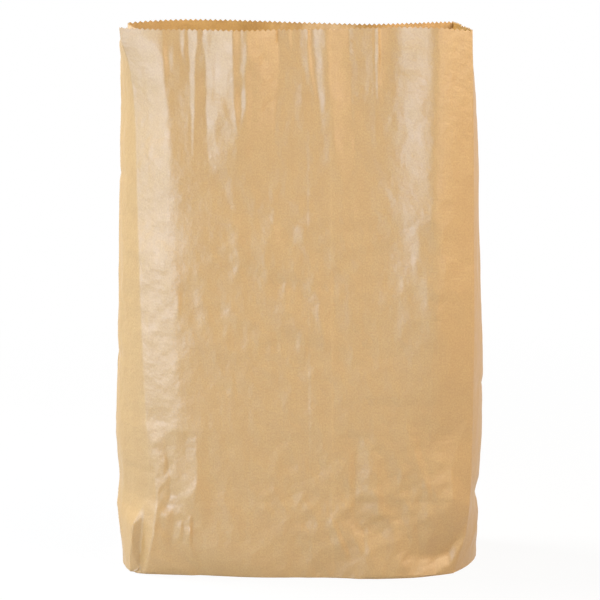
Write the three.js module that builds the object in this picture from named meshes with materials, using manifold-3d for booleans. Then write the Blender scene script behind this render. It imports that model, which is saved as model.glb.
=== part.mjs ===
// Paper bin liner: one sheet of kraft paper folded into a tube with a gusset down each side, pasted along
// one lap seam, and folded and pasted again into a flat block bottom. It stands open, with a saw-cut mouth.
// Millimetres, +Z up, front towards -Y, origin at the middle of the base on the surface it stands on.
import * as THREE from 'three';
import Module from 'manifold-3d';

// The sheet
const bagHeight = 346; // from the base to the tips of the teeth
const frontWidth = 216; // flat width of the front, and of the back
const gussetWidth = 96; // flat width of each side, which is also the depth of the base
const paper = 0.15; // thickness of the sheet
const lapWidth = 14; // width that is pasted double along the seam
const seamFromMiddle = 21; // free edge of the seam, right of the middle of the front
const flapOverlap = 24; // width over which the two base flaps are pasted together
const toothPitch = 3.2; // saw cut along the mouth
const toothHeight = 1.2;

// How far the standing bag departs from a square block
const mouthLean = 2.6; // the mouth leans to the left
const frontTaper = 8; // the front leans back at the mouth
const backTaper = 12; // and the back leans forward
const frontBelly = 2; // swelling of the front and the back at half height
const backBelly = 4;
const leftFoldInset = 13.3; // the front-left fold stands this far inside the flat width
const rightFoldInset = 10;
const backLeftInset = 5;
const backRightInset = 7;
const leftRoll = 15; // the strip next to each fold is turned back by this depth
const rightRoll = 14;
const backRoll = 12;
const backRightRoll = 3;
const leftStrip = 29; // width of those strips
const rightStrip = 24;
const backStrip = 35;
const baseStrip = 75; // width of the left strip at the base, where the front edge is bowed
const foldSpread = 80; // width over which the paper takes up an inset fold
const leftBulge = 20; // the gussets are pushed outwards by this much
const rightBulge = 13;
const gussetCrease = 3; // depth of the fold line down the middle of each gusset
const cornerCrease = 1.5; // height of the two lines from its end to the corners of the base
const gussetCreaseWidth = 7;
const mouthTuck = 12; // the left gusset is tucked in at the mouth
const tuckDrop = 3.2; // and its edge comes down with that
const rightRidge = 10; // the front stands out along a ridge beside its right strip
const ridgeFoot = 27; // width over which it rises to that ridge
const frontPinch = 3; // the front and the back come close to each other right of the middle of the mouth
const frontPinchWidth = 24;
const backPinch = 24;
const backPinchWidth = 38;
const backFlare = 8; // the back is bent outwards along the rim
const rimRise = 1; // unevenness of the rim's height
const foldValley = 0.8; // depth of the fold line left from when the base was folded flat
const foldMark = 0.6; // ridge that the folded base has pressed into the front
const foldReach = 6; // width of those lines
const wrinkleRise = 2; // height of a full wrinkle
const wrinkleWidth = 8;

// Mesh
const frontColumns = 40;
const backColumns = 20;
const gussetColumns = 8;
const rowsToFold = 4; // rows between the base and the fold line, and between it and the mark above it
const rowsAbove = 17;
const rowCrowding = 1.4; // the rows above stand closer towards the mouth
const rimBand = 3; // plain paper between the last row and the roots of the teeth
const seamStep = 0.3; // width of the step at an edge of the seam
const bite = 0.02; // depth by which pasted layers enter each other so that they become one solid

const halfWidth = frontWidth / 2;
const halfDepth = gussetWidth / 2;
const perimeter = 2 * (frontWidth + gussetWidth);
const foldHeight = gussetWidth / 2;
const markHeight = gussetWidth;
const creaseMeeting = [0.7 * foldHeight, 1.2 * foldHeight]; // heights where a gusset's fold lines meet
const baseLevel = 2 * paper;

const mix = THREE.MathUtils.lerp;

// Smooth curve through pairs of height share and strength: a cubic between two stops, which passes each stop
// in the direction from the stop before it to the stop after it.
function course(...stops) {
  const last = stops.length - 1;
  const grades = stops.map((stop, i) => {
    const [before, after] = [stops[Math.max(i - 1, 0)], stops[Math.min(i + 1, last)]];
    return (after[1] - before[1]) / (after[0] - before[0]);
  });
  return (h) => {
    let i = 0;
    while (i < last - 1 && h > stops[i + 1][0]) i += 1;
    const [[low, from], [high, to]] = [stops[i], stops[i + 1]];
    const [t, span] = [(h - low) / (high - low), high - low];
    const bend = (grades[i] * (1 - t) - grades[i + 1] * t) * span + (to - from) * (2 * t - 1);
    return mix(from, to, t) + t * (1 - t) * bend;
  };
}

// 1 at a fold, falling in a straight slope to 0 at the far edge of the strip, with a soft bend there, which
// takes up the given share of the strip.
function slope(share, softness = 0.25) {
  const ramp = (a) => (a + Math.hypot(a, softness)) / 2;
  return ramp(1 - share) / ramp(1);
}

const swell = (distance, width) => Math.exp(-((distance / width) ** 2));
const ridge = (distance, width) => Math.exp(-Math.abs(distance) / width);

// How each departure grows and fades from the base (0) to the mouth (1)
const taperCourse = course([0, 0], [0.45, 0.1], [1, 1]);
const bellyCourse = course([0, 0], [0.4, 1], [1, 0]);
const leftFoldCourse = course(
  [0, -0.05], [0.06, 0.5], [0.13, 0.9], [0.19, 1], [0.33, 0.87], [0.51, 0.72], [0.69, 0.63], [0.87, 0.54],
  [0.94, 0.3], [0.975, 0.02], [1, -0.05],
);
const rightFoldCourse = course([0, 1], [0.1, 0.1], [0.35, -0.15], [0.7, -0.1], [1, 0]);
const backLeftCourse = course([0, 0.6], [0.5, 1], [0.8, 0.6], [1, 0]);
const backRightCourse = course([0, 0.3], [0.5, 0], [0.8, 0.3], [1, 1]);
const leftRollCourse = course([0, 1], [0.2, 0.65], [0.5, 0.78], [0.85, 0.95], [1, 0.58]);
const leftStripCourse = course(
  [0, 1], [0.14, 0.5], [0.33, 0.7], [0.55, 0.72], [0.8, 0.72], [0.94, 0.74], [1, 0.9],
);
const stripBendCourse = course([0, 0.3], [0.55, 0.3], [0.7, 0.12], [1, 0.1]);
const baseStripCourse = course([0, 1], [0.06, 0.3], [0.14, 0], [0.3, 0], [1, 0]);
const rightRollCourse = course([0, 0.8], [0.15, 0.85], [0.4, 1], [0.7, 1], [1, 0.85]);
const rightRidgeCourse = course(
  [0, 0], [0.1, 0.15], [0.2, 0.55], [0.35, 0.7], [0.7, 0.65], [0.85, 1], [1, 1],
);
const backRollCourse = course([0, 0.5], [0.6, 0.7], [1, 1]); // both back folds
const leftBulgeCourse = course(
  [0, 0.42], [0.06, 0.72], [0.13, 0.95], [0.22, 1], [0.34, 0.93], [0.5, 0.82], [0.75, 0.58], [0.9, 0.37],
  [0.96, 0.22], [1, 0.1],
);
const rightBulgeCourse = course(
  [0, 1], [0.08, 0.72], [0.13, 0.5], [0.17, 0.7], [0.33, 0.8], [0.6, 0.55], [0.85, 0.45], [1, 0.1],
);
const tuckCourse = course([0, 0], [0.95, 0], [0.975, 0.15], [1, 1]);
const pinchCourse = course([0, 0], [0.4, 0], [1, 1]);
const hollowCourse = course([0, 0], [0.5, 0], [0.7, 0.3], [0.85, 0.95], [1, 1]);
const flareCourse = course([0, 0], [0.92, 0], [0.96, 0.25], [1, 1]);

// Height of the rim across the front from the left, and across the back from the right
const frontRim = course([0, 0], [0.12, -0.5], [0.5, -0.5], [0.75, 0.8], [0.9, 1], [1, -1.1]);
const backRim = course([0, -0.1], [0.3, -0.7], [0.5, -0.6], [0.67, 0.5], [0.83, 1], [0.93, 0.5], [1, -0.5]);

// Wrinkles of the front: ends given across (-1 to 1 of the half width) and up (share of the height), then
// the share of the full height and of the full width.
const frontWrinkles = [
  { from: [-0.58, 1], to: [-0.57, 0.8], rise: -0.7, width: 0.9 },
  { from: [-0.35, 1], to: [-0.33, 0.78], rise: 1.6, width: 1 },
  { from: [0.15, 1], to: [0.18, 0.8], rise: 0.7, width: 0.8 },
  { from: [0.43, 1], to: [0.41, 0.8], rise: 1.2, width: 0.9 },
  { from: [0.31, 0.26], to: [0.34, 0.1], rise: -0.9, width: 0.8 },
  { from: [0.45, 0.26], to: [0.47, 0.11], rise: 0.8, width: 0.8 },
  { from: [0.18, 0.11], to: [0.42, 0.03], rise: 0.7, width: 0.9 },
  { from: [0.62, 0.24], to: [0.82, 0.13], rise: 1, width: 1.4 },
  { from: [-0.84, 0.25], to: [-0.6, 0.15], rise: 0.8, width: 1.1 },
  { from: [-0.82, 0.1], to: [-0.62, 0.1], rise: -1, width: 1.1 },
  { from: [-0.9, 0.13], to: [-0.91, 0], rise: 1, width: 0.7 },
  { from: [-0.2, 0.62], to: [0.06, 0.5], rise: 0.4, width: 1.5 },
];
const backWrinkles = [
  { from: [0.5, 0.96], to: [0.42, 0.7], rise: -0.8, width: 1.4 },
  { from: [-0.3, 0.95], to: [-0.36, 0.72], rise: 0.7, width: 1.2 },
  { from: [-0.7, 0.3], to: [-0.4, 0.16], rise: 0.8, width: 1.3 },
  { from: [0.75, 0.28], to: [0.5, 0.1], rise: -0.8, width: 1.3 },
];

// Height of one set of wrinkles at a place on its panel: each is a rounded ridge about a line, which dies
// away past the ends of the line.
function relief(wrinkles, x, z) {
  const place = new THREE.Vector2(x, z);
  let height = 0;
  for (const { from, to, rise, width } of wrinkles) {
    const start = new THREE.Vector2(from[0] * halfWidth, from[1] * bagHeight);
    const end = new THREE.Vector2(to[0] * halfWidth, to[1] * bagHeight);
    const along = end.clone().sub(start);
    const share = THREE.MathUtils.clamp(place.clone().sub(start).dot(along) / along.lengthSq(), 0, 1);
    const nearest = start.addScaledVector(along, share);
    height += wrinkleRise * rise * swell(nearest.distanceTo(place), wrinkleWidth * width);
  }
  return height;
}

// Strength of the fold line and the pressed mark across the front from the left
const foldAcross = course([0, 1], [0.2, 0.9], [0.32, 0.2], [0.45, 0.5], [0.58, 0.15], [0.7, 0.9], [1, 1]);

// Both lines, as outward height
function foldLines(share, z) {
  const lines = foldMark * ridge(z - markHeight, foldReach) - foldValley * ridge(z - foldHeight, foldReach);
  return lines * foldAcross(share);
}

// The four folds stand this far inside the flat width.
const lean = (h) => -mouthLean * h;
const frontLeftIn = (h) => leftFoldInset * leftFoldCourse(h);
const frontRightIn = (h) => rightFoldInset * rightFoldCourse(h);
const backLeftIn = (h) => backLeftInset * backLeftCourse(h);
const backRightIn = (h) => backRightInset * backRightCourse(h);

// Place across the bag of a point of the front or the back: its place on the flat paper, drawn in near the
// folds, so that the middle of the panel stays where it is.
function acrossBag(flat, leftIn, rightIn, h) {
  const spread = (distance) => Math.max(1 - distance / foldSpread, 0) ** 2;
  return flat + lean(h) + leftIn * spread(flat + halfWidth) - rightIn * spread(halfWidth - flat);
}

const frontPinchAt = 0.5; // places across the bag, -1 to 1 of the half width
const backPinchAt = 0.44;

function frontPoint(share, h) {
  const place = (flat) => acrossBag(flat, frontLeftIn(h), frontRightIn(h), h);
  const [left, x, right] = [-halfWidth, (share - 0.5) * frontWidth, halfWidth].map(place);
  const z = h * bagHeight;
  const stripWidth = mix(leftStrip * leftStripCourse(h), baseStrip, baseStripCourse(h));
  const pinch = swell(x - frontPinchAt * halfWidth, frontPinchWidth) * hollowCourse(h);
  const foot = Math.max(right - rightStrip - x, 0) / ridgeFoot;
  const y = -halfDepth + frontTaper * taperCourse(h) - frontBelly * bellyCourse(h)
    + leftRoll * leftRollCourse(h) * slope((x - left) / stripWidth, stripBendCourse(h))
    + rightRoll * rightRollCourse(h) * slope((right - x) / rightStrip)
    - rightRidge * rightRidgeCourse(h) * slope(foot)
    + frontPinch * pinch
    - relief(frontWrinkles, x, z) - foldLines(share, z);
  return new THREE.Vector3(x, y, z + rimRise * frontRim(share) * pinchCourse(h));
}

function backPoint(share, h) {
  const place = (flat) => acrossBag(flat, backLeftIn(h), backRightIn(h), h);
  const [left, x, right] = [-halfWidth, (0.5 - share) * frontWidth, halfWidth].map(place);
  const z = h * bagHeight;
  const y = halfDepth - backTaper * taperCourse(h) + backBelly * bellyCourse(h)
    - backRoll * backRollCourse(h) * slope((x - left) / backStrip)
    - backRightRoll * backRollCourse(h) * slope((right - x) / backStrip)
    - backPinch * swell(x - backPinchAt * halfWidth, backPinchWidth) * pinchCourse(h)
    + backFlare * flareCourse(h)
    + relief(backWrinkles, x, z);
  return new THREE.Vector3(x, y, z + rimRise * backRim(share) * pinchCourse(h));
}

// A gusset runs between a front fold and a back fold. It is pushed out in a round, and it may be tucked in
// towards the mouth. It keeps its fold lines: a valley down the middle that ends at the height of the fold
// line, and from there two ridges that run down to the corners of the base. side is -1 on the left.
function gussetPoint(from, to, share, h, side, bulge, tuck) {
  const point = from.clone().lerp(to, share);
  const fromMiddle = 2 * share - 1;
  const round = 1 - fromMiddle ** 2;
  const vee = 1 - Math.abs(fromMiddle);
  const middleLine = ridge(fromMiddle * halfDepth, gussetCreaseWidth);
  const cornerLines = ridge(h * bagHeight - foldHeight * vee, gussetCreaseWidth);
  const aboveFold = THREE.MathUtils.smoothstep(h * bagHeight, ...creaseMeeting);
  const crease = mix(-cornerCrease * cornerLines, gussetCrease * middleLine, aboveFold);
  point.x += side * ((bulge - crease) * round - mouthTuck * tuck * vee);
  point.z -= tuckDrop * tuck * vee;
  return point;
}

// The sheet's outer face: u runs around the bag from the front-left fold, z up it.
function sheetPoint(u, z) {
  const around = THREE.MathUtils.euclideanModulo(u, perimeter);
  const h = z / bagHeight;
  if (around < frontWidth) {
    return frontPoint(around / frontWidth, h);
  }
  if (around < frontWidth + gussetWidth) {
    const share = (around - frontWidth) / gussetWidth;
    return gussetPoint(frontPoint(1, h), backPoint(0, h), share, h, 1, rightBulge * rightBulgeCourse(h), 0);
  }
  if (around < 2 * frontWidth + gussetWidth) {
    return backPoint((around - frontWidth - gussetWidth) / frontWidth, h);
  }
  const share = (around - 2 * frontWidth - gussetWidth) / gussetWidth;
  const bulge = leftBulge * leftBulgeCourse(h);
  return gussetPoint(backPoint(1, h), frontPoint(0, h), share, h, -1, bulge, tuckCourse(h));
}

function sheetNormal(u, z) {
  const step = 0.5;
  const low = Math.min(Math.max(z, step), bagHeight - step);
  const across = sheetPoint(u + step, z).sub(sheetPoint(u - step, z));
  const up = sheetPoint(u, low + step).sub(sheetPoint(u, low - step));
  return across.cross(up).normalize();
}

// The seam: left of its free edge the sheet is double.
const seamEdge = halfWidth + seamFromMiddle;
const seamStart = seamEdge - lapWidth;
const isDouble = (u) => u > seamStart - seamStep / 2 && u < seamEdge + seamStep / 2;

function outerPoint(u, z) {
  const point = sheetPoint(u, z);
  return isDouble(u) ? point.addScaledVector(sheetNormal(u, z), paper) : point;
}

function innerPoint(u, z) {
  return sheetPoint(u, z).addScaledVector(sheetNormal(u, z), -paper);
}

// Places around the bag where the mesh has a column: even steps on each panel, and the seam's two steps.
function columnPlaces() {
  const places = [seamStart - seamStep, seamStart, seamEdge, seamEdge + seamStep];
  const panels = [[frontWidth, frontColumns], [gussetWidth, gussetColumns]];
  let start = 0;
  for (const [width, count] of [...panels, [frontWidth, backColumns], panels[1]]) {
    for (let i = 0; i < count; i += 1) {
      const u = start + (width * i) / count;
      if (places.every((place) => Math.abs(place - u) > seamStep)) places.push(u);
    }
    start += width;
  }
  return places.sort((a, b) => a - b);
}

// Heights of the rows: the base, the fold line and the mark above it each have one.
function rowHeights() {
  const top = bagHeight - toothHeight - rimBand;
  const heights = [baseLevel];
  for (let i = 1; i <= 2 * rowsToFold; i += 1) heights.push((foldHeight * i) / rowsToFold);
  for (let i = 1; i <= rowsAbove; i += 1) {
    heights.push(mix(top, markHeight, (1 - i / rowsAbove) ** rowCrowding));
  }
  return heights;
}

// The mouth is sawn through the flattened tube, so the teeth are counted across that: the gussets lie
// folded inside it, and each tooth of a gusset faces one of the front. Returns places around the bag with
// the heights of the tips and the roots.
function toothPlaces() {
  const half = toothPitch / 2;
  const spans = [
    [0, frontWidth],
    [frontWidth, -halfDepth],
    [frontWidth - halfDepth, halfDepth],
    [frontWidth, -frontWidth],
    [0, halfDepth],
    [halfDepth, -halfDepth],
  ];
  const cutHeight = (across) => {
    const phase = THREE.MathUtils.euclideanModulo(across / toothPitch, 1);
    return bagHeight - toothHeight * Math.abs(2 * phase - 1);
  };
  const places = [];
  let start = 0;
  for (const [across, reach] of spans) {
    places.push({ u: start, z: cutHeight(across) });
    const sign = Math.sign(reach);
    const first = sign > 0 ? Math.floor(across / half) + 1 : Math.ceil(across / half) - 1;
    for (let k = first; sign * (across + reach - k * half) > half / 4; k += sign) {
      const gone = Math.abs(k * half - across);
      if (gone > half / 4) places.push({ u: start + gone, z: cutHeight(k * half) });
    }
    start += Math.abs(reach);
  }
  return places;
}

const wasm = await Module();
wasm.setup();

function solid(points, triangles) {
  const vertProperties = new Float32Array(points.flat());
  const triVerts = new Uint32Array(triangles.flat());
  return new wasm.Manifold(new wasm.Mesh({ numProp: 3, vertProperties, triVerts }));
}

// The closed shell of the sheet: outer and inner face, joined along the saw cut, with the base plate.
function bagShell() {
  const columns = columnPlaces();
  const rows = rowHeights();
  const teeth = toothPlaces();
  const positions = [];
  const triangles = [];
  const put = (point) => positions.push(point) - 1;

  const outer = rows.map((z) => columns.map((u) => put(outerPoint(u, z))));
  const inner = rows.map((z, row) => columns.map((u) => {
    const point = innerPoint(u, z);
    if (row === 0) point.z = baseLevel + paper;
    return put(point);
  }));
  const outerTeeth = teeth.map(({ u, z }) => put(outerPoint(u, z)));
  const innerTeeth = teeth.map(({ u, z }) => put(innerPoint(u, z)));

  const face = (a, b, c, inward) => triangles.push(inward ? [a, c, b] : [a, b, c]);
  const next = (i, list) => (i + 1) % list.length;

  for (const [skin, edge, inward] of [[outer, outerTeeth, false], [inner, innerTeeth, true]]) {
    for (let r = 0; r < rows.length - 1; r += 1) {
      for (let c = 0; c < columns.length; c += 1) {
        const d = next(c, columns);
        face(skin[r][c], skin[r][d], skin[r + 1][d], inward);
        face(skin[r][c], skin[r + 1][d], skin[r + 1][c], inward);
      }
    }
    // the band between the last row and the teeth has more points above than below
    const last = skin[rows.length - 1];
    let c = 0;
    let t = 0;
    while (c < columns.length || t < teeth.length) {
      const nextColumn = c + 1 < columns.length ? columns[c + 1] : perimeter;
      const nextTooth = t + 1 < teeth.length ? teeth[t + 1].u : perimeter;
      const [low, high] = [last[c % columns.length], edge[t % teeth.length]];
      if (t >= teeth.length || (c < columns.length && nextColumn < nextTooth)) {
        face(low, last[next(c, columns)], high, inward);
        c += 1;
      } else {
        face(low, edge[next(t, teeth)], high, inward);
        t += 1;
      }
    }
  }

  for (let t = 0; t < teeth.length; t += 1) {
    const s = next(t, teeth);
    face(outerTeeth[t], outerTeeth[s], innerTeeth[s]);
    face(outerTeeth[t], innerTeeth[s], innerTeeth[t]);
  }

  for (const [loop, inward] of [[outer[0], true], [inner[0], false]]) {
    const outline = loop.map((i) => new THREE.Vector2(positions[i].x, positions[i].y));
    for (const [a, b, c] of THREE.ShapeUtils.triangulateShape(outline, [])) {
      face(loop[a], loop[b], loop[c], inward);
    }
  }
  return solid(positions.map((point) => point.toArray()), triangles);
}

// A plate with the given outline, from one level to another
function plate(outline, from, to) {
  const count = outline.length;
  const low = outline.map((p) => [p.x, p.y, from]);
  const high = outline.map((p) => [p.x, p.y, to]);
  const triangles = [];
  for (const [a, b, c] of THREE.ShapeUtils.triangulateShape(outline, [])) {
    triangles.push([a, c, b], [count + a, count + b, count + c]);
  }
  for (let i = 0; i < count; i += 1) {
    const j = (i + 1) % count;
    triangles.push([i, j, count + j], [i, count + j, count + i]);
  }
  return solid([...low, ...high], triangles);
}

// A base flap is folded in from the front (side -1) or the back (side 1). It follows the outline of the base
// at its fold, has its ends cut at 45 degrees, and reaches past the middle.
function baseFlap(side, from, to) {
  const outline = columnPlaces().map((u) => {
    const { x, y } = sheetPoint(u, baseLevel);
    return new THREE.Vector2(x, y);
  });
  const reach = halfDepth + flapOverlap / 2;
  const outside = 2 * halfDepth; // well past the fold, so that the outline of the base trims it
  const corners = [
    [-halfWidth - outside + halfDepth, -outside], [halfWidth + outside - halfDepth, -outside],
    [halfWidth - reach, reach - halfDepth], [reach - halfWidth, reach - halfDepth],
  ].map(([x, y]) => new THREE.Vector2(x, -side * y));
  const cut = side > 0 ? corners.reverse() : corners;
  return plate(outline, from, to).intersect(plate(cut, from - bite, to + bite));
}

const backFlap = baseFlap(1, paper, baseLevel + bite);
const frontFlap = baseFlap(-1, 0, baseLevel + bite);
const bag = bagShell().add(backFlap).add(frontFlap).getMesh();

const geometry = new THREE.BufferGeometry();
geometry.setAttribute('position', new THREE.BufferAttribute(bag.vertProperties, 3));
geometry.setIndex(new THREE.BufferAttribute(bag.triVerts, 1));
geometry.computeVertexNormals();

const kraft = new THREE.MeshStandardMaterial({ color: '#cfa673', roughness: 0.55, metalness: 0 });
const liner = new THREE.Mesh(geometry, kraft);
liner.name = 'paper_bag';

const group = new THREE.Group();
group.add(liner);

export default group;
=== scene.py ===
import math

import bpy
import numpy as np
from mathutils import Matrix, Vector
from mathutils.geometry import delaunay_2d_cdt


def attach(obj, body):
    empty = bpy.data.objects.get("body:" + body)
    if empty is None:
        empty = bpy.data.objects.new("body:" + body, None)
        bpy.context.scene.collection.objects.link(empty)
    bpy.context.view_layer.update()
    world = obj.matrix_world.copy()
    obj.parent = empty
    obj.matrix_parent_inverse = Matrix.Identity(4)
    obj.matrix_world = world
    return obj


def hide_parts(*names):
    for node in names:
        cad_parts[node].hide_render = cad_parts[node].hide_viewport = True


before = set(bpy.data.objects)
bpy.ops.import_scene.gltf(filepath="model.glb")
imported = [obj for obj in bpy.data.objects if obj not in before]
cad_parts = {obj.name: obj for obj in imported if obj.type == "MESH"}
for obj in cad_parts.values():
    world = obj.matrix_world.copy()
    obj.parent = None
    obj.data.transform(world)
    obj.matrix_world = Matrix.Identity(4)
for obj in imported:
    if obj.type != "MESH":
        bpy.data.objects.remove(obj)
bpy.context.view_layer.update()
mm = 0.001
print("frame loaded:", ", ".join(sorted(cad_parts)))


# Camera and studio

shot = {
    "eye": (0, -1500, 430),  # mm, in front of the bag and a little above its mouth
    "aim": (0, 0, 170.2),
    "lens": 142.6,  # mm
    "sensor": 36,  # mm wide
}

studio = {
    "floorSize": 24000,  # mm
    "floorColour": "#DEDEDC",
    "nearGlow": 0.92,  # share of the floor's white that no shadow darkens, by the bag
    "shadowReach": (150, 900),  # mm from the middle, over which that share grows to all of it
    "ambient": 0.06,  # light of the pale room all around
    # name: where it stands and where it looks (mm), width and height (mm), watts, colour
    "boxes": {
        "leftSoftbox": {"at": (-689, -578, 240), "look": (0, 0, 200), "size": (840, 450),
                        "watts": 6.7, "colour": "#D8E8FF"},
        "highSoftbox": {"at": (796, -300, 1570), "look": (0, 0, 170), "size": (1200, 1200),
                        "watts": 10.5, "colour": "#FFF6EA"},
        "rightFront": {"at": (360, -577, 420), "look": (0, 0, 230), "size": (300, 500),
                       "watts": 1.05, "colour": "#FFF8F0"},
        "leftKicker": {"at": (-760, 250, 1250), "look": (0, 0, 200), "size": (600, 600),
                       "watts": 24, "colour": "#F4F8FF"},
        "rightKicker": {"at": (850, -420, 760), "look": (0, 0, 170), "size": (600, 600),
                        "watts": 6.4, "colour": "#FFE4C0"},
    },
}


def hexColour(text):
    # sRGB hex to linear red, green, blue and full alpha
    parts = [int(text[i:i + 2], 16) / 255 for i in (1, 3, 5)]
    return [c / 12.92 if c <= 0.04045 else ((c + 0.055) / 1.055) ** 2.4 for c in parts] + [1]


def addNode(tree, kind, inputs=None, **settings):
    # one node: settings are its own options, inputs are numbers, colours or the sockets that feed it
    node = tree.nodes.new(kind)
    for name, value in settings.items():
        setattr(node, name, value)
    for name, value in (inputs or {}).items():
        if isinstance(value, bpy.types.NodeSocket):
            tree.links.new(value, node.inputs[name])
        else:
            node.inputs[name].default_value = value
    return node


def seenWhite(tree):
    # 1 for rays that show the background to the eye, directly or in a gloss or through glass
    path = addNode(tree, "ShaderNodeLightPath")
    either = addNode(tree, "ShaderNodeMath", {0: path.outputs["Is Camera Ray"],
                     1: path.outputs["Is Glossy Ray"]}, operation="MAXIMUM")
    return addNode(tree, "ShaderNodeMath", {0: either.outputs[0],
                   1: path.outputs["Is Transmission Ray"]}, operation="MAXIMUM").outputs[0]


def addObject(name, data):
    made = bpy.data.objects.new(name, data)
    bpy.context.scene.collection.objects.link(made)
    return made


def pointAt(thing, at, look):
    thing.location = Vector(at) * mm
    thing.rotation_euler = (Vector(look) - Vector(at)).to_track_quat("-Z", "Y").to_euler()


def makeCamera():
    lens = bpy.data.cameras.new("photoCamera")
    lens.sensor_width = shot["sensor"]
    lens.lens = shot["lens"]
    camera = addObject("photoCamera", lens)
    pointAt(camera, shot["eye"], shot["aim"])
    bpy.context.scene.camera = camera


def makeLights():
    for name, box in studio["boxes"].items():
        lamp = bpy.data.lights.new(name, "AREA")
        lamp.shape = "RECTANGLE"
        lamp.size, lamp.size_y = (side * mm for side in box["size"])
        lamp.energy = box["watts"]
        lamp.color = hexColour(box["colour"])[:3]
        pointAt(addObject(name, lamp), box["at"], box["look"])
    world = bpy.data.worlds.new("paleRoom")
    world.use_nodes = True
    tree = world.node_tree
    tree.nodes.clear()
    room = addNode(tree, "ShaderNodeBackground", {"Color": (1, 1, 1, 1), "Strength": studio["ambient"]})
    white = addNode(tree, "ShaderNodeBackground", {"Color": (1, 1, 1, 1), "Strength": 1})
    mixed = addNode(tree, "ShaderNodeMixShader",
                    {0: seenWhite(tree), 1: room.outputs[0], 2: white.outputs[0]})
    addNode(tree, "ShaderNodeOutputWorld", {"Surface": mixed.outputs[0]})
    bpy.context.scene.world = world


def makeFloor():
    half = studio["floorSize"] / 2 * mm
    mesh = bpy.data.meshes.new("floor")
    corners = [(-half, -half, 0), (half, -half, 0), (half, half, 0), (-half, half, 0)]
    mesh.from_pydata(corners, [], [(0, 1, 2, 3)])
    floor = addObject("floor", mesh)
    paint = bpy.data.materials.new("mattWhiteFloor")
    paint.use_nodes = True
    tree = paint.node_tree
    tree.nodes.clear()
    matt = addNode(tree, "ShaderNodeBsdfDiffuse", {"Color": hexColour(studio["floorColour"])})
    glow = addNode(tree, "ShaderNodeEmission", {"Color": (1, 1, 1, 1), "Strength": 1})
    place = addNode(tree, "ShaderNodeTexCoord")
    away = addNode(tree, "ShaderNodeVectorMath", {0: place.outputs["Object"]}, operation="LENGTH")
    near, far = (reach * mm for reach in studio["shadowReach"])
    grown = addNode(tree, "ShaderNodeMapRange",
                    {"Value": away.outputs["Value"], "From Min": near, "From Max": far,
                     "To Min": studio["nearGlow"], "To Max": 1}, interpolation_type="SMOOTHSTEP")
    share = addNode(tree, "ShaderNodeMath", {0: seenWhite(tree), 1: grown.outputs[0]}, operation="MULTIPLY")
    mixed = addNode(tree, "ShaderNodeMixShader",
                    {0: share.outputs[0], 1: matt.outputs[0], 2: glow.outputs[0]})
    addNode(tree, "ShaderNodeOutputMaterial", {"Surface": mixed.outputs[0]})
    mesh.materials.append(paint)


makeCamera()
makeLights()
makeFloor()
bpy.context.scene.view_settings.view_transform = "Standard"
print("camera, lights and floor made")


# The bag: one sheet, folded into a tube with a gusset down each side and pasted into a block bottom

sheet = {
    "height": 346,  # mm, from the base to the tips of the teeth
    "front": 216,  # flat width of the front and of the back
    "gusset": 96,  # flat width of each side, and depth of the base
    "paper": 0.15,
    "lap": 14,  # pasted double along the seam
    "seam": 21,  # free edge of the seam, right of the middle of the front
    "flapOverlap": 24,
    "toothPitch": 3.2,
    "toothHeight": 1.2,
    "frontSteps": 4,  # columns in each tooth of the front, and of the other sides
    "otherSteps": 2,
    "footRows": (1, 2.2),  # mm up, the first rows above the base
    "lowRows": (4, 100, 2),  # from, to and apart, with a row on each fold line
    "middleRows": (100, 250, 56),  # from, to and how many
    "upperRows": 38,  # from there to the last row
    "rimRow": 1,  # mm from the last row to the foot of the teeth
    "liningRows": (10, 18),  # the inside has fewer rows, below and above
    "liningSplit": 0.6,  # share of the height between those
    "liningRim": 6,  # mm from the last of them to the last row of the outside
    "liningGap": (8.5, 1.4),  # the inside stands off the crinkles, at the base and at the mouth
    "sharpAngle": 50,  # degrees; a sharper fold is shaded as an edge
    "insideUv": 400,  # mm, how far the inside and the base lie from the outside on the flat map
    "baseUv": 50,
}

# How far the standing bag departs from a square block, in mm; At and Bend are shares, a Lot picks a draw
stand = {
    "mouthLean": 2.6, "frontTaper": 8, "backTaper": 12, "frontBelly": 2, "backBelly": 4,
    "leftFold": 13.3, "rightFold": 10, "backLeft": 5, "backRight": 7,
    "leftRoll": 15, "rightRoll": 17, "backRoll": 12, "backRightRoll": 3,
    "leftStrip": 29, "rightStrip": 24, "rightTurn": 48, "backStrip": 35, "baseStrip": 75, "foldSpread": 80,
    "leftBulge": 20, "rightBulge": 13, "gussetCrease": 3, "cornerCrease": 1.5, "creaseWidth": 7,
    "mouthTuck": 12, "tuckDrop": 3.2,
    "frontPinch": 3, "frontPinchWidth": 24, "frontPinchAt": 0.5,
    "rightRidge": 14, "ridgeFoot": 25, "ridgeRound": 8, "ridgeBend": 0.5,
    "backPinch": 24, "backPinchWidth": 38, "backPinchAt": 0.44, "backFlare": 8,
    "rimRise": 1, "foldValley": 0.8, "foldMark": 0.6, "foldReach": 6,
    "wrinkleRise": 2, "wrinkleWidth": 8, "nickReach": 3,
    "lapRipple": 0.06, "lapReach": 5, "rippleLength": 1.4, "rippleDrift": 11,
    "cockleRise": 0.25, "cockleLengths": (46, 55, 63, 74, 90), "cockleLot": 7,
    "creaseMeeting": (0.7, 1.2),  # where a gusset's fold lines meet, in heights of the fold line
    # crumpled paper: lot and size of each set of creases, its wave lengths, the level of the folded waves,
    # the width of the worn edge in the same measure, and how far creases are drawn out upwards
    "crumpleSets": ((3, 1), (5, 1), (8, 0.5), (9, 0.27)), "crumpleLengths": (21, 25, 30, 36, 42, 50, 60),
    "crumpleLevel": 0.8, "crumpleEdge": 0.06, "crumpleWear": 0.5, "crumpleTall": 2,
    "crumpleRise": 0.38, "crumpleLeast": 0.2, "crumpleBack": 0.8, "creaseLot": 11,
    "wearWidth": 1,
}

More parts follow.
